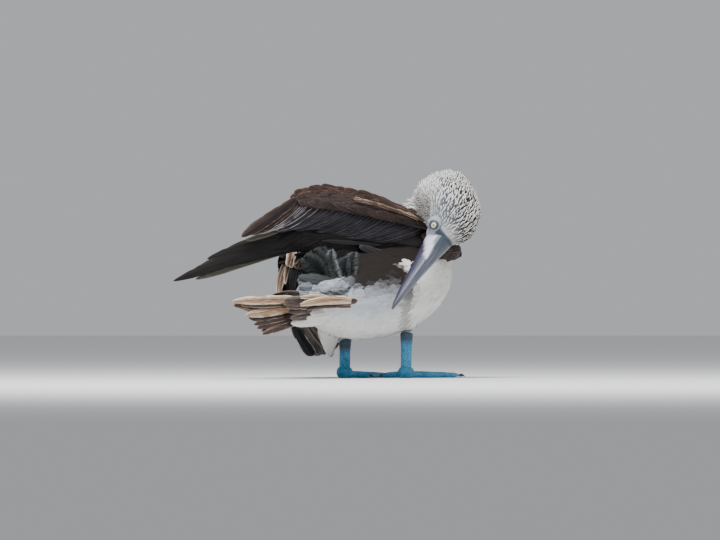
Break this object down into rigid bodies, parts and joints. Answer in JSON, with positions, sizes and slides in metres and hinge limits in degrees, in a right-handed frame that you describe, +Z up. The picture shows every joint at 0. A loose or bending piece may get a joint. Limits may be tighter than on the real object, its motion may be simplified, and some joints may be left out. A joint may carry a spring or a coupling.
{
  "type": "seabird model",
  "caption": "Life-size still model of a standing blue-footed booby that preens its flank, one wing folded over its back and one hanging, with bare webbed feet.",
  "frame": {"origin": "centre of the bounding box's bottom face, on the floor that both feet stand on", "axes": "+X the way the body faces, +Y towards its left wing, +Z up from the floor"},
  "size_m": [0.4714, 0.2527, 0.23],
  "materials": {
    "body_feathers": "white body feathers, matt",
    "neck_feathers": "white and brown streaked feathers, matt",
    "head_feathers": "white and brown streaked feathers, matt",
    "bill_horn": "slate-blue horn, satin",
    "lower_bill_horn": "slate-blue horn, satin",
    "eye_gloss": "glossy pale yellow eye",
    "far_eye_gloss": "glossy pale yellow eye",
    "left_thigh_feathers": "white thigh feathers, matt",
    "right_thigh_feathers": "white and grey-brown thigh feathers, matt",
    "left_shank_skin": "blue scaled skin, satin",
    "right_shank_skin": "blue scaled skin, satin",
    "left_foot_skin": "bright blue webbed skin, satin",
    "right_foot_skin": "bright blue webbed skin, satin",
    "right_wing_feathers": "dark brown feathers, slight sheen",
    "left_wing_feathers": "dark brown feathers, slight sheen",
    "left_primaries": "near-black primary feathers, slight sheen",
    "tail_feathers": "brown and cream tail feathers"
  },
  "bodies": {
    "root": {"torso": "body_feathers", "neck": "neck_feathers", "head": "head_feathers", "bill_upper": "bill_horn", "bill_lower": "lower_bill_horn", "eye_left": "eye_gloss", "eye_right": "far_eye_gloss", "thigh_left": "left_thigh_feathers", "thigh_right": "right_thigh_feathers", "shank_left": "left_shank_skin", "shank_right": "right_shank_skin", "foot_left": "left_foot_skin", "foot_right": "right_foot_skin", "wing_right": "right_wing_feathers", "wing_left": "left_wing_feathers", "wing_left_hand": "left_primaries", "tail": "tail_feathers"}
  },
  "joints": []
}
